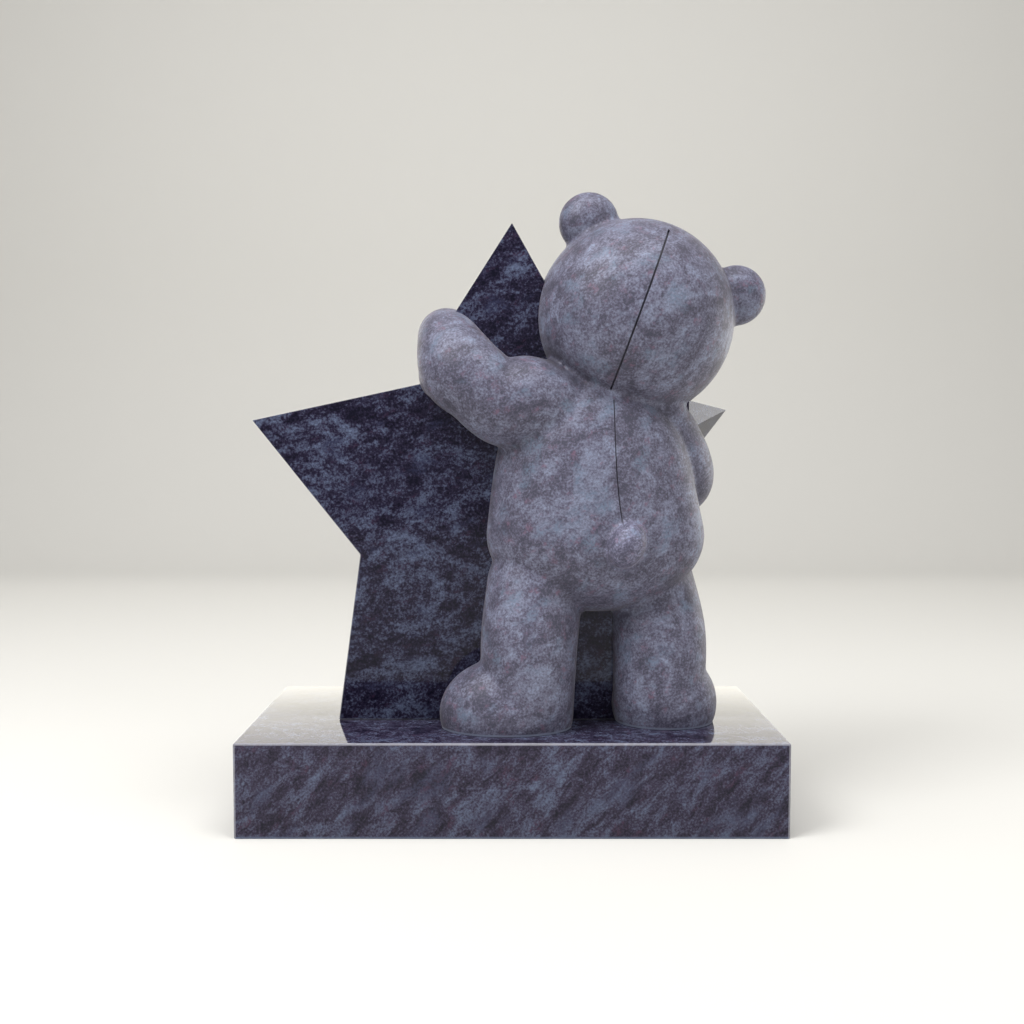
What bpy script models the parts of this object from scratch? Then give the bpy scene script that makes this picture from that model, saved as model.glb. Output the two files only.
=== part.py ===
"""A teddy bear headstone: a polished granite base, and on it a thick five-pointed star that a teddy bear hugs.

The star and the bear are carved from one block. The model is in metres with +Z up. The origin is at the middle
of the base's underside, the star's broad faces look along -Y and +Y, and the bear stands at the -Y face.
"""

import math

import bpy
import bmesh
from mathutils import Euler, Matrix, Vector
from mathutils.bvhtree import BVHTree

# Base slab
BASE_WIDTH = 0.610
BASE_DEPTH = 0.305
BASE_HEIGHT = 0.106
BASE_ARRIS = 0.003

# Star slab. Its span is between the two side points, as if both were full.
STAR_HEIGHT = 0.582
STAR_SPAN = 0.608
STAR_THICKNESS = 0.088
STAR_ARRIS = 0.0018
TIP_THICKNESS = 0.004

# Bear, from its soles to the top of its higher ear
BEAR_HEIGHT = 0.626

# Joint between the base and the carving
JOINT_GAP = 0.0003

# Mesh of the carving
CARVING_VOXEL = 0.0058
CARVING_SMOOTHING = 3
CARVING_FACE_SHARE = 0.17
LIMB_STEPS = 6
SEAM_RADIUS = 0.0022
BACK_SEAM_RADIUS = 0.0015
HEAD_SEAM_STEPS = 18
BACK_SEAM_STEPS = 28
BURIED = 0.020

FLOOR = BASE_HEIGHT + JOINT_GAP
NEAR_FACE = -STAR_THICKNESS / 2
FAR_FACE = STAR_THICKNESS / 2

# The star's outline: shares of half its span and of its height. The right point is cut shorter than the left one.
STAR_OUTLINE = [
    (0.000, 1.000),
    (-0.350, 0.717),
    (-0.350, 0.681),
    (-1.000, 0.608),
    (-0.587, 0.337),
    (-0.674, 0.000),
    (0.674, 0.000),
    (0.565, 0.422),
    (0.872, 0.633),
    (0.356, 0.671),
]
RIGHT_TIP = STAR_OUTLINE[8]
RIGHT_NOTCH = STAR_OUTLINE[7]
# Where the two facets that sharpen the right point start on the near face
FACET_START = (0.679, 0.590)


def clear_scene():
    for old in list(bpy.data.objects):
        bpy.data.objects.remove(old, do_unlink=True)


def new_collection(name):
    made = bpy.data.collections.new(name)
    bpy.context.scene.collection.children.link(made)
    return made


def granite(name, colour, roughness):
    made = bpy.data.materials.new(name)
    made.use_nodes = True
    shader = made.node_tree.nodes["Principled BSDF"]
    shader.inputs["Base Color"].default_value = (*colour, 1.0)
    shader.inputs["Roughness"].default_value = roughness
    shader.inputs["Metallic"].default_value = 0.0
    made.diffuse_color = (*colour, 1.0)
    return made


def object_from(name, bm, collection):
    mesh = bpy.data.meshes.new(name)
    bm.to_mesh(mesh)
    bm.free()
    made = bpy.data.objects.new(name, mesh)
    collection.objects.link(made)
    return made


def as_helper(obj):
    obj.hide_render = True
    obj.display_type = "WIRE"


def boolean(obj, operation, other):
    cut = obj.modifiers.new(f"{operation.lower()} {other.name}", "BOOLEAN")
    cut.operation = operation
    cut.solver = "EXACT"
    cut.object = other
    cut.material_mode = "TRANSFER"


# Base


def base_slab(collection):
    bm = bmesh.new()
    bmesh.ops.create_cube(bm, size=1.0)
    bmesh.ops.scale(bm, vec=(BASE_WIDTH, BASE_DEPTH, BASE_HEIGHT), verts=bm.verts)
    bmesh.ops.translate(bm, vec=(0, 0, BASE_HEIGHT / 2), verts=bm.verts)
    polished = [edge for edge in bm.edges if any(vert.co.z > BASE_HEIGHT / 2 for vert in edge.verts)]
    bmesh.ops.bevel(bm, geom=polished, offset=BASE_ARRIS, segments=1, affect="EDGES")
    return object_from("base", bm, collection)


# Star


def on_star(shares, y):
    """The point of the star's outline at these shares of its size, at depth y."""
    return Vector((shares[0] * STAR_SPAN / 2, y, FLOOR + shares[1] * STAR_HEIGHT))


def star_slab(collection):
    """The slab runs on below the joint, where it is trimmed together with the bear's feet."""
    curve = bpy.data.curves.new("star outline", "CURVE")
    curve.dimensions = "2D"
    curve.fill_mode = "BOTH"
    curve.extrude = STAR_THICKNESS / 2
    spline = curve.splines.new("POLY")
    corners = []
    for shares in STAR_OUTLINE:
        corner = on_star(shares, 0)
        corners.append((corner.x, corner.z))
        if shares[1] == 0:
            corners.append((corner.x, corner.z - BURIED))
    left_foot = [corner for corner in corners if corner[0] < 0 and corner[1] <= FLOOR]
    right_foot = [corner for corner in corners if corner[0] > 0 and corner[1] <= FLOOR]
    right_foot.reverse()
    first = corners.index(left_foot[0])
    corners[first : first + 4] = left_foot + right_foot
    spline.points.add(len(corners) - 1)
    for point, (x, z) in zip(spline.points, corners):
        point.co = (x, z, 0, 1)
    spline.use_cyclic_u = True
    outline = bpy.data.objects.new("star outline", curve)
    outline.rotation_euler = Euler((math.pi / 2, 0, 0))
    collection.objects.link(outline)
    bpy.context.view_layer.update()
    graph = bpy.context.evaluated_depsgraph_get()
    mesh = bpy.data.meshes.new_from_object(outline.evaluated_get(graph))
    mesh.transform(outline.matrix_world)
    bm = bmesh.new()
    bm.from_mesh(mesh)
    bmesh.ops.remove_doubles(bm, verts=bm.verts, dist=1e-6)
    bmesh.ops.recalc_face_normals(bm, faces=bm.faces)
    bmesh.ops.dissolve_limit(bm, angle_limit=math.radians(1), verts=bm.verts, edges=bm.edges)
    bpy.data.objects.remove(outline, do_unlink=True)
    return object_from("star", bm, collection)


def block_beyond(name, point, normal, reach, collection):
    """A cube with one face centred on the point, lying on the side that the normal looks to."""
    bm = bmesh.new()
    bmesh.ops.create_cube(bm, size=reach)
    bmesh.ops.translate(bm, vec=(0, 0, reach / 2), verts=bm.verts)
    turn = Vector(normal).normalized().to_track_quat("Z", "Y").to_matrix().to_4x4()
    bmesh.ops.transform(bm, matrix=Matrix.Translation(point) @ turn, verts=bm.verts)
    made = object_from(name, bm, collection)
    as_helper(made)
    return made


def sharpen_right_point(star, collection):
    """Two facets on the near side bring the right point down to a short edge at the far face."""
    tip = on_star(RIGHT_TIP, FAR_FACE - TIP_THICKNESS)
    start = on_star(FACET_START, NEAR_FACE)
    reach = 2 * (tip - start).length
    edge = on_star(RIGHT_NOTCH, FAR_FACE) - on_star(RIGHT_TIP, FAR_FACE)
    upper_normal = (tip - start).cross(Vector((0, 0, 1)))
    lower_normal = edge.cross(tip - start)
    for name, normal in (("upper facet", upper_normal), ("lower facet", lower_normal)):
        outward = normal if normal.y < 0 else -normal
        boolean(star, "DIFFERENCE", block_beyond(name, tip, outward, reach, collection))


# Bear. Its measures are thousandths of its own height: x from the base's middle to the right, z up from the
# soles, and y from the face of the star that is named with it.


def thousandths(value):
    return value * BEAR_HEIGHT / 1000


def on_bear(x, face, y, z):
    return Vector((thousandths(x), face + thousandths(y), FLOOR + thousandths(z)))


HEAD_CENTRE = on_bear(231, NEAR_FACE, 35, 755)
HEAD_RADIUS = thousandths(186)
HEAD_LEAN = math.radians(20)
HEAD_TURN = math.radians(-2)
TAIL_TURN = Matrix.Rotation(math.radians(22), 3, "Y")
HEAD_SEAM_TOP = math.radians(57)
HEAD_SEAM_END = math.radians(-55)
HEAD_AXES = Matrix.Rotation(HEAD_LEAN, 3, "Y") @ Matrix.Rotation(HEAD_TURN, 3, "Z")


def on_head(side, out, up):
    """A point in head radii from the head's centre, in the leaning head's own directions, out towards its face."""
    return HEAD_CENTRE + HEAD_AXES @ Vector((side, out, up)) * HEAD_RADIUS


def unit_ball():
    bm = bmesh.new()
    bmesh.ops.create_uvsphere(bm, u_segments=32, v_segments=20, radius=1.0)
    mesh = bpy.data.meshes.new("unit ball")
    bm.to_mesh(mesh)
    bm.free()
    return mesh


def add_ball(bm, centre, radii, turn=None):
    """An ellipsoid, its radii in metres, made from the one unit ball."""
    place = Matrix.Translation(centre)
    if turn is not None:
        place = place @ turn.to_4x4()
    ball = BALL.copy()
    ball.transform(place @ Matrix.Diagonal((*radii, 1.0)))
    bm.from_mesh(ball)
    bpy.data.meshes.remove(ball)


def add_limb(bm, stations):
    """A limb through its stations, each a centre and three radii, along a smooth curve."""
    ends = [stations[0]] + list(stations) + [stations[-1]]
    for before, start, end, after in zip(ends, ends[1:], ends[2:], ends[3:]):
        for step in range(LIMB_STEPS + (end is stations[-1])):
            t = step / LIMB_STEPS
            weights = (
                -t / 2 + t**2 - t**3 / 2,
                1 - 2.5 * t**2 + 1.5 * t**3,
                t / 2 + 2 * t**2 - 1.5 * t**3,
                -(t**2) / 2 + t**3 / 2,
            )
            near = (before, start, end, after)
            centre = sum((weight * place for weight, (place, _) in zip(weights, near)), Vector())
            radii = sum((weight * Vector(size) for weight, (_, size) in zip(weights, near)), Vector())
            add_ball(bm, centre, radii)


def station(x, face, y, z, radius, depth=None, height=None):
    """A place on a limb and its radii, which are alike unless a depth and a height are given."""
    radii = (radius, depth or radius, height or radius)
    return on_bear(x, face, y, z), [thousandths(value) for value in radii]


def add_torso(bm):
    add_limb(
        bm,
        (
            station(155, NEAR_FACE, -12, 352, 203, 124, 143),
            station(148, NEAR_FACE, -10, 479, 179, 116, 147),
            station(142, NEAR_FACE, -8, 535, 148, 95, 125),
        ),
    )
    add_ball(bm, *station(202, NEAR_FACE, -133, 342, 33, 37, 43), TAIL_TURN)


def add_legs(bm):
    add_limb(
        bm,
        (
            station(29, NEAR_FACE, -47, 50, 86),
            station(32, NEAR_FACE, -43, 160, 90),
            station(43, NEAR_FACE, -17, 258, 90),
        ),
    )
    add_limb(
        bm,
        (
            station(276, NEAR_FACE, -2, 50, 86),
            station(277, NEAR_FACE, 10, 160, 89),
            station(264, NEAR_FACE, 32, 258, 82),
        ),
    )
    add_ball(bm, *station(-10, NEAR_FACE, -49, 26, 124, 87, 101))
    add_ball(bm, *station(287, NEAR_FACE, 2, 36, 99, 88, 98))


def add_arms(bm):
    """The left arm goes over the star's upper notch, the right one round its right edge, each to the far face."""
    add_limb(
        bm,
        (
            station(66, NEAR_FACE, -28, 588, 80),
            station(22, NEAR_FACE, -35, 596, 86),
            station(-18, NEAR_FACE, -50, 592, 74),
            station(-62, NEAR_FACE, -48, 629, 73),
            station(-96, NEAR_FACE, -30, 660, 75),
            station(-121, NEAR_FACE, 34, 718, 57, 75, 57),
            station(-120, FAR_FACE, -22, 716, 58, 75, 58),
            station(-72, FAR_FACE, 28, 660, 68),
            station(-14, FAR_FACE, 28, 606, 70, 58, 66),
        ),
    )
    add_ball(bm, *station(-124, NEAR_FACE, -12, 647, 49, 60, 49))
    add_ball(bm, *station(-123, NEAR_FACE, 72, 668, 52, 66, 52))
    add_ball(bm, *station(-130, NEAR_FACE, 70, 640, 46, 96, 52))
    add_limb(
        bm,
        (
            station(262, NEAR_FACE, 22, 568, 71),
            station(301, NEAR_FACE, 54, 492, 77),
            station(313, NEAR_FACE, 84, 456, 76),
            station(295, FAR_FACE, 8, 460, 70),
            station(244, FAR_FACE, 28, 494, 67, 60, 67),
            station(200, FAR_FACE, 28, 526, 70, 56, 66),
        ),
    )


def add_head(bm):
    add_ball(bm, HEAD_CENTRE, [HEAD_RADIUS] * 3)
    ear = [HEAD_RADIUS * share for share in (0.305, 0.24, 0.305)]
    add_ball(bm, on_bear(144, NEAR_FACE, 35, 935), ear, HEAD_AXES)
    add_ball(bm, on_bear(421, NEAR_FACE, 35, 800), ear, HEAD_AXES)
    add_ball(bm, on_head(0, 0.86, -0.24), [HEAD_RADIUS * share for share in (0.44, 0.36, 0.34)], HEAD_AXES)
    add_ball(bm, on_head(0, 1.20, -0.12), [HEAD_RADIUS * share for share in (0.15, 0.09, 0.11)], HEAD_AXES)
    for side in (-0.34, 0.34):
        add_ball(bm, on_head(side, 0.90, 0.16), [HEAD_RADIUS * 0.10] * 3)


def bear_form(collection):
    bm = bmesh.new()
    add_torso(bm)
    add_legs(bm)
    add_arms(bm)
    add_head(bm)
    bear = object_from("star_and_bear", bm, collection)
    blend = bear.modifiers.new("one skin", "REMESH")
    blend.mode = "VOXEL"
    blend.voxel_size = CARVING_VOXEL
    blend.use_smooth_shade = True
    soften = bear.modifiers.new("soft creases", "SMOOTH")
    soften.factor = 0.5
    soften.iterations = CARVING_SMOOTHING
    thin = bear.modifiers.new("fewer faces", "DECIMATE")
    thin.ratio = CARVING_FACE_SHARE
    return bear


# Seams


def head_seam_route():
    """Down the back of the head, in the plane that halves it, from the crown to the neck."""
    for step in range(HEAD_SEAM_STEPS + 1):
        turn = HEAD_SEAM_TOP + (HEAD_SEAM_END - HEAD_SEAM_TOP) * step / HEAD_SEAM_STEPS
        yield on_head(0, -math.cos(turn), math.sin(turn))


def back_seam_route():
    """Down the middle of the back, from the neck nearly to the tail, drifting to the side where it ends."""
    for step in range(BACK_SEAM_STEPS + 1):
        t = step / BACK_SEAM_STEPS
        yield on_bear(182 + 14 * t**3, NEAR_FACE, -140, 600 - 225 * t)


def carve_seam(name, route, radius, body, collection):
    """A groove where the route, seen from the -Y side, falls on the body."""
    graph = bpy.context.evaluated_depsgraph_get()
    surface = BVHTree.FromObject(body, graph)
    points = []
    for place in route:
        hit = surface.ray_cast(Vector((place.x, -BASE_DEPTH, place.z)), Vector((0, 1, 0)))[0]
        points.append(hit)
    curve = bpy.data.curves.new(name, "CURVE")
    curve.dimensions = "3D"
    curve.bevel_depth = radius
    curve.bevel_resolution = 1
    curve.use_fill_caps = True
    spline = curve.splines.new("POLY")
    spline.points.add(len(points) - 1)
    for point, place in zip(spline.points, points):
        point.co = (*place, 1)
    cord = bpy.data.objects.new(name, curve)
    collection.objects.link(cord)
    bpy.context.view_layer.update()
    graph = bpy.context.evaluated_depsgraph_get()
    bm = bmesh.new()
    bm.from_mesh(bpy.data.meshes.new_from_object(cord.evaluated_get(graph)))
    bmesh.ops.remove_doubles(bm, verts=bm.verts, dist=1e-6)
    bmesh.ops.recalc_face_normals(bm, faces=bm.faces)
    bpy.data.objects.remove(cord, do_unlink=True)
    groove = object_from(name, bm, collection)
    as_helper(groove)
    return groove


clear_scene()
BALL = unit_ball()
headstone = new_collection("teddy bear headstone")
cutters = new_collection("cutters")
dark_polished = granite("polished granite", (0.045, 0.045, 0.070), 0.12)
honed = granite("honed granite", (0.16, 0.16, 0.20), 0.55)

base = base_slab(headstone)
base.data.materials.append(dark_polished)

star = star_slab(cutters)
star.data.materials.append(dark_polished)
star_arris = star.modifiers.new("arris", "BEVEL")
star_arris.width = STAR_ARRIS
star_arris.segments = 1
star_arris.limit_method = "ANGLE"
sharpen_right_point(star, cutters)
as_helper(star)

carving = bear_form(headstone)
carving.data.materials.append(honed)
bpy.context.view_layer.update()
head_seam = carve_seam("head seam", head_seam_route(), SEAM_RADIUS, carving, cutters)
back_seam = carve_seam("back seam", back_seam_route(), BACK_SEAM_RADIUS, carving, cutters)
boolean(carving, "UNION", star)
boolean(carving, "DIFFERENCE", head_seam)
boolean(carving, "DIFFERENCE", back_seam)
joint = block_beyond("joint", (0, 0, FLOOR), (0, 0, -1), 2 * STAR_SPAN, cutters)
boolean(carving, "DIFFERENCE", joint)
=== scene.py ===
# %% [markdown]
# # A teddy bear headstone in granite
# The real thing is a child's memorial: a polished granite base, and on it one block of the same stone, cut
# into a five-pointed star with a teddy bear that stands behind it and hugs it. The star is polished, so it
# looks almost black. The bear is only honed, so it looks pale and soft. This lesson builds both round the
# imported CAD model, which gives the sizes, and ends with a studio to photograph them in.

# %% The frame
import math

import bpy
from mathutils import Matrix, Vector
from mathutils.bvhtree import BVHTree


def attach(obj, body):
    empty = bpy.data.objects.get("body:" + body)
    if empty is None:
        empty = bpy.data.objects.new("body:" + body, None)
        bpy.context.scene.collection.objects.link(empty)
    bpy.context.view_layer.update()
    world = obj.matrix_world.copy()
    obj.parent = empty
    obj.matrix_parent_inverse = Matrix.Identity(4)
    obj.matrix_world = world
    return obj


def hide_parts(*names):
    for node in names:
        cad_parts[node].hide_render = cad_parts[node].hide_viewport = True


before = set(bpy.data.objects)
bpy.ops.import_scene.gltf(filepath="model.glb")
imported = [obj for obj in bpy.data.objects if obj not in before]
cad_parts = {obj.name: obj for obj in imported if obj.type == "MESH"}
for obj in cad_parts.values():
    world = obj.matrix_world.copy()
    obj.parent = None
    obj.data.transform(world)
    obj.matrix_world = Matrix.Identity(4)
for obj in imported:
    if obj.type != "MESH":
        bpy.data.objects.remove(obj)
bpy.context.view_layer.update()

print("CAD nodes:", sorted(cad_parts))

# %% [markdown]
# ## Sizes
# Every length is in metres and repeats a value of the CAD model, so that a piece made here fills the same
# space as the solid that it stands for. The headstone faces us with the bear's back: -Y is near and +Y is
# far. The two angles say how sharp an edge has to be to show as one: 20 degrees on cut faces, 45 on the
# bear's soft skin.

# %% Sizes
BASE_WIDTH = 0.610
BASE_DEPTH = 0.305
BASE_HEIGHT = 0.106
BASE_ARRIS = 0.003
FOOT_ARRIS = 0.0012

STAR_HEIGHT = 0.582
STAR_SPAN = 0.608
STAR_THICKNESS = 0.088
STAR_ARRIS = 0.0018
TIP_THICKNESS = 0.004

BEAR_HEIGHT = 0.626
JOINT_GAP = 0.0003

FLAT_ANGLE = math.radians(20)
SKIN_ANGLE = math.radians(45)

FLOOR = BASE_HEIGHT + JOINT_GAP
NEAR_FACE = -STAR_THICKNESS / 2
FAR_FACE = STAR_THICKNESS / 2
print(f"base top at {BASE_HEIGHT:.3f} m, star faces at y {NEAR_FACE:.3f} and {FAR_FACE:.3f}")

# %% [markdown]
# ## Small helpers
# An operator works on whatever is selected, and the CAD nodes are still selected after loading. So `only`
# clears the selection first. `pick` selects faces, edges or corners by a rule, the way a hand would click
# them, and `finish_with` adds a modifier and applies it at once. The other helpers give a new piece its
# name, put its place into its mesh and count its triangles.

# %% Helpers
def only(*objects):
    bpy.ops.object.select_all(action="DESELECT")
    for obj in objects:
        obj.select_set(True)
    bpy.context.view_layer.objects.active = objects[0]


def pick(obj, kind, rule):
    """Opens the piece in edit mode with the faces, edges or corners selected that the rule says yes to."""
    only(obj)
    bpy.ops.object.mode_set(mode="EDIT")
    bpy.ops.mesh.select_mode(type=kind)
    bpy.ops.mesh.select_all(action="DESELECT")
    bpy.ops.object.mode_set(mode="OBJECT")
    parts = {"FACE": obj.data.polygons, "EDGE": obj.data.edges, "VERT": obj.data.vertices}[kind]
    for part in parts:
        part.select = rule(part)
    bpy.ops.object.mode_set(mode="EDIT")


def leave_edit():
    bpy.ops.object.mode_set(mode="OBJECT")


def place_in_mesh(obj):
    """The object goes to the origin, and its place, turn and size go into its mesh."""
    only(obj)
    bpy.ops.object.transform_apply(location=True, rotation=True, scale=True)


def finish_with(obj, kind, **settings):
    only(obj)
    added = obj.modifiers.new(kind.lower(), kind)
    for name, value in settings.items():
        setattr(added, name, value)
    bpy.ops.object.modifier_apply(modifier=added.name)


def named(name):
    made = bpy.context.object
    made.name = name
    made.data.name = name
    return made


def count(obj):
    print(f"{obj.name}: {sum(len(face.vertices) - 2 for face in obj.data.polygons)} triangles")

# %% [markdown]
# ## The base
# The real base is a sawn slab, polished on its top and its four sides. A mason takes the sharp edge off
# with a small flat called an arris, because a sharp granite edge chips. It shows as a thin bright line
# round the top. A cube stretched to size has the right form, and a bevel with three segments gives the
# arris a slight roll that catches the light. The bottom edge gets a much smaller one.

# %% The base
def end_heights(obj, edge):
    return [obj.data.vertices[index].co.z for index in edge.vertices]


bpy.ops.mesh.primitive_cube_add(
    size=1, location=(0, 0, BASE_HEIGHT / 2), scale=(BASE_WIDTH, BASE_DEPTH, BASE_HEIGHT)
)
base = named("polished_base")
place_in_mesh(base)
pick(base, "EDGE", lambda edge: max(end_heights(base, edge)) > BASE_HEIGHT / 2)
bpy.ops.mesh.bevel(offset=BASE_ARRIS, segments=3, profile=0.6, affect="EDGES")
leave_edit()
pick(base, "EDGE", lambda edge: max(end_heights(base, edge)) < BASE_ARRIS)
bpy.ops.mesh.bevel(offset=FOOT_ARRIS, segments=2, profile=0.6, affect="EDGES")
leave_edit()
only(base)
bpy.ops.object.shade_smooth_by_angle(angle=FLAT_ANGLE)
count(base)

# %% [markdown]
# ## The star
# The star is a slab 88 mm thick. Its two long lower points are its feet. We start from a disc with ten
# corners, move each corner to its place on the outline, and pull the disc out to the slab's thickness,
# which is how a stencil becomes a slab on the wire saw. The outline is written as shares of half the span
# and of the height, because the photograph shows that this star isn't quite regular.

# %% The star's outline
STAR_OUTLINE = [
    (0.000, 1.000),
    (-0.350, 0.717),
    (-0.350, 0.681),
    (-1.000, 0.608),
    (-0.587, 0.337),
    (-0.674, 0.000),
    (0.674, 0.000),
    (0.565, 0.422),
    (0.872, 0.633),
    (0.356, 0.671),
]


def on_star(shares, y):
    return Vector((shares[0] * STAR_SPAN / 2, y, FLOOR + shares[1] * STAR_HEIGHT))


bpy.ops.mesh.primitive_circle_add(vertices=len(STAR_OUTLINE), radius=STAR_SPAN / 2, fill_type="NGON")
star = named("polished_star")
for corner, shares in zip(star.data.vertices, STAR_OUTLINE):
    corner.co = on_star(shares, NEAR_FACE)
pick(star, "FACE", lambda face: True)
bpy.ops.mesh.extrude_region_move(TRANSFORM_OT_translate={"value": (0, STAR_THICKNESS, 0)})
bpy.ops.mesh.select_all(action="SELECT")
bpy.ops.mesh.normals_make_consistent(inside=False)
leave_edit()
finish_with(star, "BEVEL", width=STAR_ARRIS, segments=2, profile=0.6, limit_method="ANGLE")
count(star)

# %% [markdown]
# The right point is cut shorter than the others, and two facets on its near side bring it down to a short
# edge at the far face. Each facet is one cut with a big block: a cube is set with one face on the cutting
# plane and taken away with a Boolean. The block is only as large as the point needs, so it leaves the foot
# alone.

# %% The right point's facets
RIGHT_TIP = STAR_OUTLINE[8]
RIGHT_NOTCH = STAR_OUTLINE[7]
FACET_START = (0.679, 0.590)


def cut_beyond(obj, point, outward, reach):
    bpy.ops.object.select_all(action="DESELECT")
    bpy.ops.mesh.primitive_cube_add(size=reach)
    block = named("block")
    turn = outward.normalized().to_track_quat("Z", "Y").to_matrix().to_4x4()
    block.matrix_world = Matrix.Translation(point) @ turn @ Matrix.Translation((0, 0, reach / 2))
    place_in_mesh(block)
    finish_with(obj, "BOOLEAN", operation="DIFFERENCE", solver="EXACT", object=block)
    bpy.data.objects.remove(block, do_unlink=True)


tip = on_star(RIGHT_TIP, FAR_FACE - TIP_THICKNESS)
start = on_star(FACET_START, NEAR_FACE)
upper_facet = (tip - start).cross(Vector((0, 0, 1)))
lower_facet = (on_star(RIGHT_NOTCH, 0) - on_star(RIGHT_TIP, 0)).cross(tip - start)
for facet in (upper_facet, lower_facet):
    cut_beyond(star, tip, facet if facet.y < 0 else -facet, 2 * (tip - start).length)
only(star)
bpy.ops.object.shade_smooth_by_angle(angle=FLAT_ANGLE)
count(star)

# %% [markdown]
# ## The bear, as balls of clay
# A carver roughs a bear out of a few round masses and then rubs the creases soft. We do the same: one ball
# is made, and copies of it are strung along each limb, bigger and smaller as the limb swells. The measures
# are thousandths of the bear's height: x from the middle to the right, z up from the soles, and y from the
# face of the star that is named with it.

# %% Balls and limbs
LIMB_STEPS = 8
bpy.ops.object.select_all(action="DESELECT")
bpy.ops.mesh.primitive_uv_sphere_add(segments=48, ring_count=30, radius=1)
ball = named("ball")
masses = []


def thousandths(value):
    return value * BEAR_HEIGHT / 1000


def on_bear(x, face, y, z):
    return Vector((thousandths(x), face + thousandths(y), FLOOR + thousandths(z)))


def add_ball(centre, radii, turn=None):
    mesh = ball.data.copy()
    turned = Matrix.Translation(centre) @ (turn.to_4x4() if turn else Matrix.Identity(4))
    mesh.transform(turned @ Matrix.Diagonal((*radii, 1)))
    mass = bpy.data.objects.new("mass", mesh)
    bpy.context.scene.collection.objects.link(mass)
    masses.append(mass)


def station(x, face, y, z, radius, depth=None, height=None):
    radii = (radius, depth or radius, height or radius)
    return on_bear(x, face, y, z), [thousandths(value) for value in radii]


def add_limb(*stations):
    """Balls along a smooth curve through the stations, each a centre and three radii."""
    ends = [stations[0], *stations, stations[-1]]
    for before, start, end, after in zip(ends, ends[1:], ends[2:], ends[3:]):
        for step in range(LIMB_STEPS + (end is stations[-1])):
            t = step / LIMB_STEPS
            weights = (
                -t / 2 + t**2 - t**3 / 2,
                1 - 2.5 * t**2 + 1.5 * t**3,
                t / 2 + 2 * t**2 - 1.5 * t**3,
                -(t**2) / 2 + t**3 / 2,
            )
            near = (before, start, end, after)
            centre = sum((weight * place for weight, (place, _) in zip(weights, near)), Vector())
            radii = sum((weight * Vector(size) for weight, (_, size) in zip(weights, near)), Vector())
            add_ball(centre, radii)


print(len(ball.data.vertices), "corners in each ball")

# %% [markdown]
# The torso is one fat limb. The tail is one small ball, turned by 22 degrees. Each leg is a limb, and its
# foot is one more ball that reaches forward over the base.

# %% Torso, tail and legs
TAIL_TURN = Matrix.Rotation(math.radians(22), 3, "Y")
add_limb(
    station(155, NEAR_FACE, -12, 352, 203, 124, 143),
    station(148, NEAR_FACE, -10, 479, 179, 116, 147),
    station(142, NEAR_FACE, -8, 535, 148, 95, 125),
)
TAIL_CENTRE, TAIL_RADII = station(202, NEAR_FACE, -133, 342, 33, 37, 43)
add_ball(TAIL_CENTRE, TAIL_RADII, TAIL_TURN)
add_limb(
    station(29, NEAR_FACE, -47, 50, 86),
    station(32, NEAR_FACE, -43, 160, 90),
    station(43, NEAR_FACE, -17, 258, 90),
)
add_limb(
    station(276, NEAR_FACE, -2, 50, 86),
    station(277, NEAR_FACE, 10, 160, 89),
    station(264, NEAR_FACE, 32, 258, 82),
)
add_ball(*station(-10, NEAR_FACE, -49, 26, 124, 87, 101))
add_ball(*station(287, NEAR_FACE, 2, 36, 99, 88, 98))
print(len(masses), "balls so far")

# %% [markdown]
# The left arm goes over the star's upper notch and comes down the far face. Three more balls fill it out
# where it crosses the notch. The right one goes round the right edge. Both end in a paw that lies flat on
# the stone.

# %% Arms
add_limb(
    station(66, NEAR_FACE, -28, 588, 80),
    station(22, NEAR_FACE, -35, 596, 86),
    station(-18, NEAR_FACE, -50, 592, 74),
    station(-62, NEAR_FACE, -48, 629, 73),
    station(-96, NEAR_FACE, -30, 660, 75),
    station(-121, NEAR_FACE, 34, 718, 57, 75, 57),
    station(-120, FAR_FACE, -22, 716, 58, 75, 58),
    station(-72, FAR_FACE, 28, 660, 68),
    station(-14, FAR_FACE, 28, 606, 70, 58, 66),
)
add_ball(*station(-124, NEAR_FACE, -12, 647, 49, 60, 49))
add_ball(*station(-123, NEAR_FACE, 72, 668, 52, 66, 52))
add_ball(*station(-130, NEAR_FACE, 70, 640, 46, 96, 52))
add_limb(
    station(262, NEAR_FACE, 22, 568, 71),
    station(301, NEAR_FACE, 54, 492, 77),
    station(313, NEAR_FACE, 84, 456, 76),
    station(295, FAR_FACE, 8, 460, 70),
    station(244, FAR_FACE, 28, 494, 67, 60, 67),
    station(200, FAR_FACE, 28, 526, 70, 56, 66),
)
print(len(masses), "balls with the arms")

# %% [markdown]
# The head leans to the right by 20 degrees. Its face looks away from us, over the star, so the photograph
# doesn't show it: a plain teddy face is our own guess.

# %% Head
HEAD_CENTRE = on_bear(231, NEAR_FACE, 35, 755)
HEAD_RADIUS = thousandths(186)
HEAD_LEAN = math.radians(20)
HEAD_TURN = math.radians(-2)
HEAD_AXES = Matrix.Rotation(HEAD_LEAN, 3, "Y") @ Matrix.Rotation(HEAD_TURN, 3, "Z")


def on_head(side, out, up):
    """A point in head radii from the head's centre, along the leaning head's own directions."""
    return HEAD_CENTRE + HEAD_AXES @ Vector((side, out, up)) * HEAD_RADIUS


def head_radii(*shares):
    return [HEAD_RADIUS * share for share in shares]


add_ball(HEAD_CENTRE, head_radii(1, 1, 1))
for ear in (on_bear(144, NEAR_FACE, 35, 935), on_bear(421, NEAR_FACE, 35, 800)):
    add_ball(ear, head_radii(0.305, 0.24, 0.305), HEAD_AXES)
muzzle = on_head(0, 0.86, -0.24)
add_ball(muzzle, head_radii(0.44, 0.36, 0.34), HEAD_AXES)
print(len(masses), "balls in all")

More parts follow.
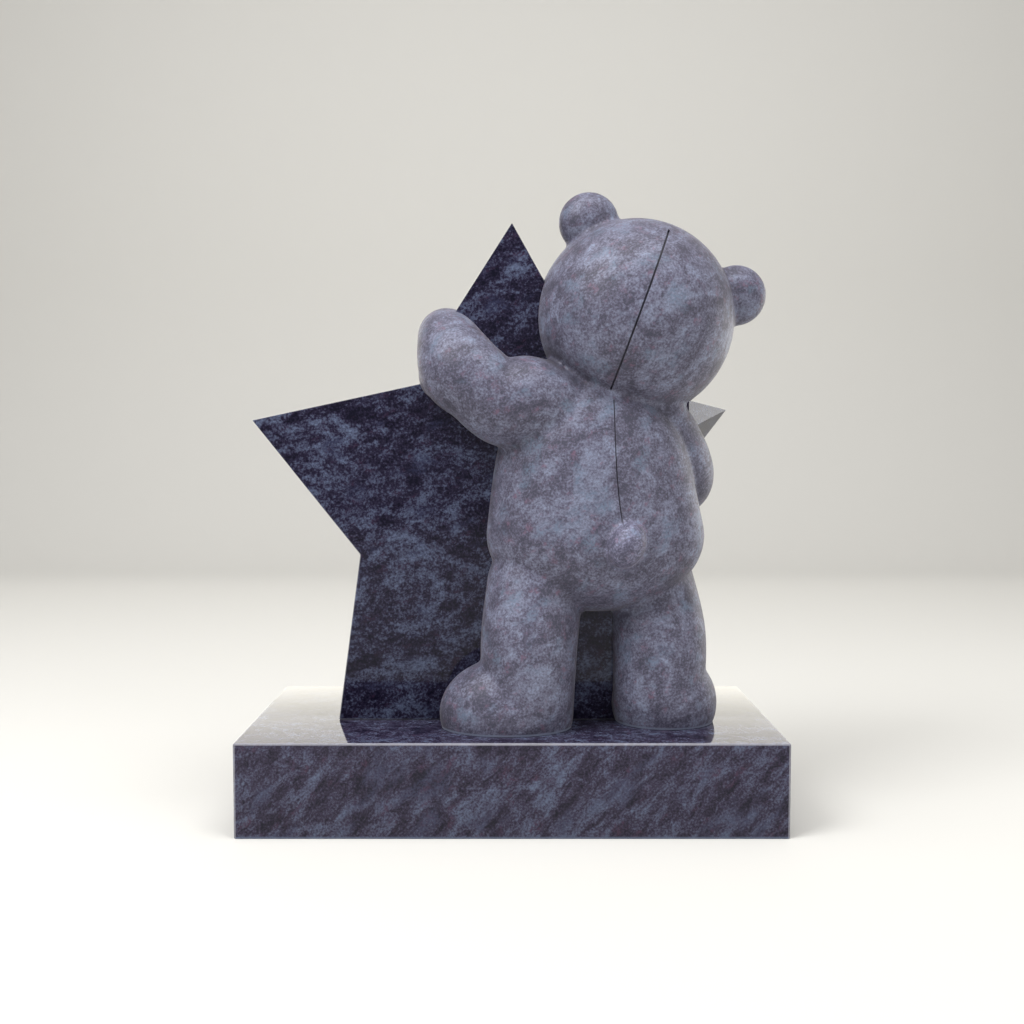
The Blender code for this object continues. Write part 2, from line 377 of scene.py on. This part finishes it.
# %% [markdown]
# ## One skin
# Joined, the balls still cut through each other. A voxel Remesh keeps only the outer skin, as one closed
# mesh of even quads, and Smooth rubs the creases as soft as a sanding pad leaves them. Last, one cut with a
# block below the joint makes the soles flat.

# %% One skin
SKIN_VOXEL = 0.0031
SKIN_SMOOTHING = 5
only(*masses)
bpy.ops.object.join()
bear = named("carved_bear")
bpy.data.objects.remove(ball, do_unlink=True)
finish_with(bear, "REMESH", mode="VOXEL", voxel_size=SKIN_VOXEL)
finish_with(bear, "SMOOTH", factor=0.5, iterations=SKIN_SMOOTHING)
cut_beyond(bear, Vector((0, 0, FLOOR)), Vector((0, 0, -1)), 2 * STAR_SPAN)
count(bear)

# %% [markdown]
# ## The seams
# Two saw cuts make the stone look sewn. The head's lies in the plane that halves the head, so it is cut
# with a blade made by Spin: a thin upright rectangle is swung round the head's centre, from the crown to
# the neck.

# %% Head seam
HEAD_SEAM_WIDTH = 0.0022
HEAD_SEAM_DEPTH = 0.0035
HEAD_SEAM_TOP = math.radians(58)
HEAD_SEAM_END = math.radians(-52)
HEAD_SEAM_STEPS = 28
BLADE_PROUD = 0.010


def cut_with(obj, blade):
    pick(blade, "FACE", lambda face: True)
    bpy.ops.mesh.remove_doubles(threshold=1e-6)
    bpy.ops.mesh.normals_make_consistent(inside=False)
    leave_edit()
    finish_with(obj, "BOOLEAN", operation="DIFFERENCE", solver="EXACT", object=blade)
    bpy.data.objects.remove(blade, do_unlink=True)


def to_crown(turn):
    return HEAD_AXES @ Vector((0, -math.cos(turn), math.sin(turn)))


across = HEAD_AXES @ Vector((1, 0, 0))
outward = to_crown(HEAD_SEAM_TOP)
middle = HEAD_CENTRE + outward * (HEAD_RADIUS + (BLADE_PROUD - HEAD_SEAM_DEPTH) / 2)
bpy.ops.object.select_all(action="DESELECT")
bpy.ops.mesh.primitive_plane_add(size=1)
blade = named("head blade")
sides = Matrix((across, outward, across.cross(outward))).transposed().to_4x4()
blade_size = Matrix.Diagonal((HEAD_SEAM_WIDTH, BLADE_PROUD + HEAD_SEAM_DEPTH, 1, 1))
blade.matrix_world = Matrix.Translation(middle) @ sides @ blade_size
place_in_mesh(blade)
pick(blade, "FACE", lambda face: True)
bpy.ops.mesh.spin(
    steps=HEAD_SEAM_STEPS, angle=HEAD_SEAM_END - HEAD_SEAM_TOP, center=HEAD_CENTRE, axis=across
)
leave_edit()
print("blade's lowest point:", round(min(v.co.z for v in blade.data.vertices), 3))
cut_with(bear, blade)

# %% [markdown]
# The back's seam isn't in one plane: it runs down the spine and drifts to the right before the tail. So its
# blade is a ribbon. We look from the near side, drop a row of points on the bear's back, pull the row in
# and out as a strip, and give the strip its width with Solidify.

# %% Back seam
BACK_SEAM_WIDTH = 0.0012
BACK_SEAM_DEPTH = 0.0016
BACK_SEAM_STEPS = 28


def back_seam_route():
    for step in range(BACK_SEAM_STEPS + 1):
        t = step / BACK_SEAM_STEPS
        yield on_bear(182 + 14 * t**3, NEAR_FACE, 0, 600 - 225 * t)


skin = BVHTree.FromObject(bear, bpy.context.evaluated_depsgraph_get())
row = []
for place in back_seam_route():
    row.append(skin.ray_cast(Vector((place.x, -BASE_DEPTH, place.z)), Vector((0, 1, 0)))[0])
strip = bpy.data.meshes.new("back blade")
strip.from_pydata(row, [(index, index + 1) for index in range(len(row) - 1)], [])
blade = bpy.data.objects.new("back blade", strip)
bpy.context.scene.collection.objects.link(blade)
pick(blade, "VERT", lambda vertex: True)
bpy.ops.transform.translate(value=(0, -BLADE_PROUD, 0))
bpy.ops.mesh.extrude_region_move(TRANSFORM_OT_translate={"value": (0, BLADE_PROUD + BACK_SEAM_DEPTH, 0)})
leave_edit()
finish_with(blade, "SOLIDIFY", thickness=BACK_SEAM_WIDTH, offset=0)
cut_with(bear, blade)
only(bear)
bpy.ops.object.shade_smooth_by_angle(angle=SKIN_ANGLE)
count(bear)

# %% [markdown]
# ## Nose and eyes
# They are polished to the star's dark finish, so that they stand out from the honed head. Each starts from
# a ball set into the head. The nose is flattened in front, as a carver leaves it.

# %% Nose and eyes
def polished_ball(name, centre, radii):
    bpy.ops.object.select_all(action="DESELECT")
    bpy.ops.mesh.primitive_uv_sphere_add(segments=48, ring_count=24, radius=1)
    made = named(name)
    made.matrix_world = Matrix.Translation(centre) @ HEAD_AXES.to_4x4() @ Matrix.Diagonal((*radii, 1))
    place_in_mesh(made)
    bpy.ops.object.shade_smooth()
    return made


nose = polished_ball("polished_nose", on_head(0, 1.19, -0.12), head_radii(0.15, 0.09, 0.11))
left_eye = polished_ball("polished_left_eye", on_head(-0.34, 0.90, 0.16), head_radii(0.10, 0.10, 0.10))
right_eye = polished_ball("polished_right_eye", on_head(0.34, 0.90, 0.16), head_radii(0.10, 0.10, 0.10))
count(nose)

# %% [markdown]
# ## Granite
# The stone is a dark blue granite. Close up it is a mass of grains, 2 to 4 mm across, of near-black, slate
# blue and pale blue-grey, with a few dark red and sea-green ones. From a step away the grains gather into
# clouds that drift in one direction, as the melt once flowed. Each of those is one noise at its own scale,
# and the clouds decide how many of the grains are pale. All of it reads Object coordinates, so it runs
# through the block as in real stone.

# %% A small kit for nodes
class Nodes:
    """Adds nodes to one material and links them.

    An input is given by its name, or by its number as i0, i1 and so on. It gets a value or a node's output.
    """

    def __init__(self, name):
        self.material = bpy.data.materials.new(name)
        self.material.use_nodes = True
        self.tree = self.material.node_tree
        self.shader = self.tree.nodes["Principled BSDF"]

    def add(self, kind, settings=None, **inputs):
        node = self.tree.nodes.new("ShaderNode" + kind)
        for name, value in (settings or {}).items():
            setattr(node, name, value)
        for name, value in inputs.items():
            self.give(node, name.replace("_", " "), value)
        return node

    def give(self, node, name, value):
        socket = node.inputs[int(name[1:])] if name[0] == "i" and name[1:].isdigit() else node.inputs[name]
        if isinstance(value, bpy.types.NodeSocket):
            self.tree.links.new(value, socket)
        else:
            socket.default_value = value

    def noise(self, where, scale, detail=2.0, roughness=0.5, distortion=0.0):
        made = self.add("TexNoise", Vector=where, Scale=scale, Detail=detail, Roughness=roughness)
        made.inputs["Distortion"].default_value = distortion
        return made.outputs["Fac"]

    def sharpen(self, value, low, high, out_low=0.0, out_high=1.0):
        made = self.add("MapRange", None, Value=value)
        made.inputs["From Min"].default_value = low
        made.inputs["From Max"].default_value = high
        made.inputs["To Min"].default_value = out_low
        made.inputs["To Max"].default_value = out_high
        return made.outputs["Result"]

    def mix(self, share, below, above):
        made = self.add("Mix", {"data_type": "RGBA"})
        self.give(made, "i0", share)
        self.give(made, "i6", below)
        self.give(made, "i7", above)
        return made.outputs[2]

    def times(self, first, second):
        return self.add("Math", {"operation": "MULTIPLY"}, i0=first, i1=second).outputs[0]

    def plus(self, first, second):
        return self.add("Math", {"operation": "ADD"}, i0=first, i1=second).outputs[0]

    def absolute(self, value):
        return self.add("Math", {"operation": "ABSOLUTE"}, i0=value).outputs[0]

    def place(self):
        return self.add("TexCoord").outputs["Object"]

    def body(self):
        """The colour that the stone has so far."""
        return self.shader.inputs["Base Color"].links[0].from_socket

    def tint(self, share, above):
        """Lays another colour over the stone's own, by a share from 0 to 1."""
        self.give(self.shader, "Base Color", self.mix(share, self.body(), above))


def colour(red, green, blue):
    return (red, green, blue, 1.0)

# %% [markdown]
# One function makes the granite for every piece, because it is one stone. What changes is the finish: how
# bright the grains look, how rough the surface is, and which way the clouds drift. Lip is the height of a
# piece's foot and how pale its lowest 2 mm are. On the base that band is a painted reflection of the floor
# in the foot arris; on the bear it only makes the lowest 2 mm paler.

# %% Granite
GRAIN = 400.0
PATCH = 85.0
CLOUD = 20.0
RED_SPOTS = 95.0
GREEN_SPOTS = 42.0
RED_TINT = (1.42, 0.88, 0.90)
GREEN_TINT = (1.15, 1.60, 1.55)
LIP_PALE_TO = 0.0018
LIP_END = 0.0030


def tinted(tone, factors):
    return colour(*(channel * factor for channel, factor in zip(tone, factors)))


def granite(
    name, dark, middle_tone, pale, drift, stretch, roughness, grain_bump, cloud_share, grain_share, lip
):
    stone = Nodes(name)
    where = stone.place()
    flow = stone.add("Mapping", {"vector_type": "TEXTURE"}, Vector=where)
    flow.inputs["Rotation"].default_value = [math.radians(angle) for angle in drift]
    flow.inputs["Scale"].default_value = (stretch, 1.0, 1.0)
    along = flow.outputs["Vector"]
    clouds = stone.noise(along, CLOUD, detail=4.0, roughness=0.62, distortion=1.4)
    patches = stone.noise(along, PATCH, detail=4.5, roughness=0.74, distortion=0.6)
    grains = stone.noise(where, GRAIN, detail=2.5, roughness=0.65)
    mass = stone.plus(
        stone.times(stone.sharpen(clouds, 0.34, 0.66), cloud_share),
        stone.times(stone.sharpen(patches, 0.30, 0.70), 1.0 - cloud_share),
    )
    lit = stone.plus(stone.sharpen(grains, 0.30, 0.70, -grain_share, grain_share), mass)
    low = stone.mix(stone.sharpen(lit, 0.18, 0.55), dark, middle_tone)
    stone.give(stone.shader, "Base Color", stone.mix(stone.sharpen(lit, 0.50, 1.05), low, pale))
    red_where = stone.times(
        stone.sharpen(stone.noise(along, RED_SPOTS, detail=1.5), 0.60, 0.70),
        stone.sharpen(stone.noise(where, GRAIN * 0.8, detail=1.0), 0.46, 0.62, 0.1, 0.75),
    )
    green_where = stone.times(
        stone.sharpen(stone.noise(along, GREEN_SPOTS, detail=2.0), 0.58, 0.70),
        stone.sharpen(stone.noise(where, GRAIN * 0.9, detail=1.0), 0.40, 0.60, 0.1, 0.75),
    )
    stone.tint(red_where, tinted(middle_tone, RED_TINT))
    stone.tint(green_where, tinted(middle_tone, GREEN_TINT))
    height = stone.add("SeparateXYZ", Vector=where).outputs["Z"]
    lip_foot, lip_share = lip
    # Painted reflection on the base: its lowest 2 mm are paler. The bear's lowest 2 mm are paler too.
    stone.tint(stone.sharpen(height, lip_foot + LIP_PALE_TO, lip_foot + LIP_END, lip_share, 0.0), pale)
    stone.give(stone.shader, "Roughness", stone.sharpen(lit, 0.0, 1.0, *roughness))
    strength, distance = grain_bump
    bump = stone.add("Bump", Height=grains, Strength=strength, Distance=distance)
    stone.give(stone.shader, "Normal", bump.outputs["Normal"])
    return stone


print("grains about", round(1000 / GRAIN, 1), "mm across")

# %% [markdown]
# The star, nose and eyes are nearly black. The base is a little paler, and its clouds drift steeply. The
# bear is matt and far paler. The star has a stone of its own, because only the star gets a painted
# highlight on its arris.

# %% The finishes
NEARLY_BLACK = dict(
    dark=colour(0.003, 0.003, 0.011),
    middle_tone=colour(0.020, 0.016, 0.038),
    pale=colour(0.107, 0.134, 0.216),
    drift=(0, -12, 0),
    stretch=1.8,
    roughness=(0.06, 0.11),
    grain_bump=(0.05, 0.0002),
    cloud_share=0.50,
    grain_share=0.26,
    lip=(0.0, 0.0),
)
star_stone = granite("polished star granite", **NEARLY_BLACK)
face_stone = granite("polished granite", **NEARLY_BLACK)
base_stone = granite(
    "polished base granite",
    dark=colour(0.007, 0.006, 0.016),
    middle_tone=colour(0.038, 0.030, 0.059),
    pale=colour(0.115, 0.146, 0.225),
    drift=(0, -48, 0),
    stretch=2.2,
    roughness=(0.05, 0.09),
    grain_bump=(0.05, 0.0002),
    cloud_share=0.36,
    grain_share=0.26,
    lip=(0.0, 0.7),
)
honed = granite(
    "honed granite",
    dark=colour(0.047, 0.046, 0.074),
    middle_tone=colour(0.106, 0.101, 0.154),
    pale=colour(0.212, 0.243, 0.342),
    drift=(0, -30, 0),
    stretch=1.3,
    roughness=(0.56, 0.48),
    grain_bump=(0.20, 0.0005),
    cloud_share=0.45,
    grain_share=0.30,
    lip=(FLOOR, 0.8),
)
for stone, level in ((star_stone, 0.18), (face_stone, 0.18), (base_stone, 0.25), (honed, 0.35)):
    stone.shader.inputs["Specular IOR Level"].default_value = level
honed.shader.inputs["Sheen Weight"].default_value = 0.12
honed.shader.inputs["Sheen Roughness"].default_value = 0.45
honed.shader.inputs["Sheen Tint"].default_value = colour(1.0, 0.93, 0.86)
print(len(bpy.data.materials), "materials so far")

# %% [markdown]
# The arrises get a painted highlight: a paler colour that stands in for the light that an arris catches.
# On the base it is found by place: only there do two directions reach the edge at once. On the star it is
# found by direction: its faces look neither straight out nor along the slab.

# %% Painted highlights on the arrises
ARRIS_HIGHLIGHT_SHARE = 0.45
BASE_ARRIS_HIGHLIGHT = colour(0.42, 0.42, 0.47)
STAR_ARRIS_HIGHLIGHT = colour(0.36, 0.37, 0.44)
TWO_EDGES_AT_ONCE = (1.10, 1.25)
SLANTED_FROM = (0.75, 0.85)
SLANTED_TO = (0.95, 0.985)

directions = base_stone.add("SeparateXYZ", Vector=base_stone.place())
reach = None
for axis, edge in (("X", BASE_WIDTH / 2), ("Y", BASE_DEPTH / 2), ("Z", BASE_HEIGHT)):
    near_edge = base_stone.sharpen(base_stone.absolute(directions.outputs[axis]), edge - BASE_ARRIS, edge)
    reach = near_edge if reach is None else base_stone.plus(reach, near_edge)
# Painted highlight: the base is tinted paler where two of its edges meet, on the arris.
base_stone.tint(base_stone.sharpen(reach, *TWO_EDGES_AT_ONCE, 0.0, ARRIS_HIGHLIGHT_SHARE), BASE_ARRIS_HIGHLIGHT)

looks = star_stone.add("SeparateXYZ", Vector=star_stone.add("TexCoord").outputs["Normal"])
facing = star_stone.absolute(looks.outputs["Y"])
star_arris_highlight = star_stone.times(
    star_stone.sharpen(facing, *SLANTED_FROM), star_stone.sharpen(facing, *SLANTED_TO, 1.0, 0.0)
)
# Painted highlight: the star's bevel faces between its front and its sides are tinted paler.
star_stone.tint(star_arris_highlight, STAR_ARRIS_HIGHLIGHT)
print("arris on the base:", 1000 * BASE_ARRIS, "mm, on the star:", 1000 * STAR_ARRIS, "mm")

# %% [markdown]
# The tail is painted paler than the back, as painted light on its raised face. A Mapping node turns its
# ball into one of radius 1 round the origin, so the distance from there says what lies on the tail. Last,
# painted shade darkens the bear's creases. Ambient Occlusion finds them, as the places where the bear's own
# mesh is near in most directions.

# %% Painted light on the tail, painted shade in the creases
TAIL_PAINTED_LIGHT = 1.42
TAIL_RIM = (1.04, 1.20)
PAINTED_SHADE_REACH = 0.040
PAINTED_SHADE_OPENNESS = (0.40, 0.92)
PAINTED_SHADE_SHARE = 0.80
PAINTED_SHADE_COLOUR = colour(0.030, 0.028, 0.045)

in_tail = honed.add("Mapping", {"vector_type": "TEXTURE"}, Vector=honed.place())
in_tail.inputs["Location"].default_value = TAIL_CENTRE
in_tail.inputs["Rotation"].default_value = TAIL_TURN.to_euler()
in_tail.inputs["Scale"].default_value = TAIL_RADII
from_middle = honed.add("VectorMath", {"operation": "LENGTH"}, i0=in_tail.outputs["Vector"])
on_tail = honed.sharpen(from_middle.outputs["Value"], *TAIL_RIM, 1.0, 0.0)
# Painted light: the tail's own colour is scaled paler, standing in for the light on its raised face.
paler = honed.add("VectorMath", {"operation": "SCALE"}, i0=honed.body(), Scale=TAIL_PAINTED_LIGHT)
honed.tint(on_tail, paler.outputs["Vector"])

# Painted shade: where Ambient Occlusion finds a crease, the bear's colour is darkened.
openness = honed.add("AmbientOcclusion", {"samples": 8, "only_local": True}, Distance=PAINTED_SHADE_REACH)
honed.tint(honed.sharpen(openness.outputs["AO"], *PAINTED_SHADE_OPENNESS, PAINTED_SHADE_SHARE, 0.0), PAINTED_SHADE_COLOUR)
print("the honed stone has", len(honed.tree.nodes), "nodes")

# %% Stone on the pieces
for piece, stone in (
    (base, base_stone),
    (star, star_stone),
    (bear, honed),
    (nose, face_stone),
    (left_eye, face_stone),
    (right_eye, face_stone),
):
    piece.data.materials.clear()
    piece.data.materials.append(stone.material)
    print(f"{piece.name}: {stone.material.name}")

# %% [markdown]
# ## What rides where
# The headstone has no joints, so all of it is one body. Each piece says which CAD node it stands for and
# which of the record's finishes it takes.

# %% Rides
for piece, node, finish in (
    (base, "base", "polished_granite"),
    (star, "star_and_bear", "polished_granite"),
    (bear, "star_and_bear", "carved_granite"),
    (nose, "star_and_bear", "polished_granite"),
    (left_eye, "star_and_bear", "polished_granite"),
    (right_eye, "star_and_bear", "polished_granite"),
):
    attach(piece, "root")
    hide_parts(node)
    print(f"{piece.name} stands for {node}")

# %% [markdown]
# ## Studio
# A pale floor that sweeps up behind as the wall.

# %% Floor
FLOOR_REACH = 6.0
SWEEP_START = 2.6
SWEEP_RADIUS = 1.2
SWEEP_STEPS = 16
bpy.ops.object.select_all(action="DESELECT")
bpy.ops.mesh.primitive_plane_add(size=1, location=(0, (SWEEP_START - FLOOR_REACH) / 2, 0))
floor = named("floor")
floor.scale = (4 * FLOOR_REACH, SWEEP_START + FLOOR_REACH, 1)
place_in_mesh(floor)
pick(floor, "EDGE", lambda edge: all(floor.data.vertices[i].co.y > 0 for i in edge.vertices))
bpy.ops.mesh.spin(
    steps=SWEEP_STEPS, angle=math.radians(-90), center=(0, SWEEP_START, SWEEP_RADIUS), axis=(1, 0, 0)
)
bpy.ops.mesh.extrude_region_move(TRANSFORM_OT_translate={"value": (0, 0, FLOOR_REACH)})
leave_edit()
only(floor)
bpy.ops.object.shade_smooth_by_angle(angle=math.radians(30))
paper = bpy.data.materials.new("pale paper")
paper.use_nodes = True
paper_inputs = paper.node_tree.nodes["Principled BSDF"].inputs
paper_inputs["Base Color"].default_value = colour(0.71, 0.70, 0.67)
paper_inputs["Roughness"].default_value = 0.9
paper_inputs["Specular IOR Level"].default_value = 0.1
floor.data.materials.append(paper)
print("sweep reaches", round(max(v.co.z for v in floor.data.vertices), 2), "m up")

# %% [markdown]
# Four soft lights: the key above and to the left, a weak fill from the right, a wide one overhead, and one
# that brightens the wall. Then three boards stand behind and beside the stone. They add no light to matt
# surfaces, but the polished faces mirror them. So the base's top looks white, and the right point's facets
# look grey.

# %% Lights
AIM = Vector((0.03, 0, 0.34))
WALL = Vector((0, 4.0, 1.3))
RIGHT_POINT = Vector((0.23, 0, 0.46))
WARM_WHITE = (1.0, 0.964, 0.85)


def softbox(name, place, width, height, power, aim=AIM):
    light = bpy.data.lights.new(name, "AREA")
    light.shape = "RECTANGLE"
    light.size = width
    light.size_y = height
    light.energy = power
    made = bpy.data.objects.new(name, light)
    made.location = place
    made.rotation_euler = (aim - Vector(place)).to_track_quat("-Z", "Y").to_euler()
    made.visible_camera = False
    bpy.context.scene.collection.objects.link(made)
    return made


softbox("key", (-1.7, -1.3, 2.5), 1.3, 1.3, 54)
softbox("fill", (2.0, -1.9, 1.3), 1.6, 1.6, 16)
softbox("sky", (0, -0.6, 2.9), 3.0, 1.6, 62)
softbox("wall wash", (0, 1.5, 2.9), 5.0, 1.0, 20, WALL)
upper_board = softbox("upper board", (0, 2.28, 0.98), 4.4, 0.62, 2)
side_card = softbox("side card", (1.8, 0.89, 0.50), 0.9, 0.9, 11, RIGHT_POINT)
back_board = softbox("back board", (0, 2.3, 0.80), 4.4, 1.4, 30)
back_board.data.color = WARM_WHITE
for mirrored in (upper_board, side_card, back_board):
    mirrored.visible_diffuse = False
print(len(bpy.data.lights), "lights")

# %% The room
world = bpy.data.worlds.new("pale room")
world.use_nodes = True
background = world.node_tree.nodes["Background"]
background.inputs["Color"].default_value = colour(1.0, 0.985, 0.96)
background.inputs["Strength"].default_value = 0.46
bpy.context.scene.world = world
bpy.context.scene.view_settings.view_transform = "Standard"
print("room light", background.inputs["Strength"].default_value)

# %% [markdown]
# ## Camera
# It stands 1.39 m in front of the stone, 43 cm up, and looks down by 3.2 degrees. That was worked out from
# the base's corners in the photograph.

# %% Camera
CAMERA_PLACE = (0, -1.390, 0.428)
CAMERA_PITCH = math.radians(3.2)
FOCAL_PIXELS = 1150
PICTURE_PIXELS = 1024
SENSOR = 36.0
lens = bpy.data.cameras.new("camera")
lens.sensor_width = SENSOR
lens.lens = SENSOR * FOCAL_PIXELS / PICTURE_PIXELS
camera = bpy.data.objects.new("camera", lens)
camera.location = CAMERA_PLACE
camera.rotation_euler = (math.radians(90) - CAMERA_PITCH, 0, 0)
bpy.context.scene.collection.objects.link(camera)
bpy.context.scene.camera = camera
print("lens", round(lens.lens, 1), "mm")
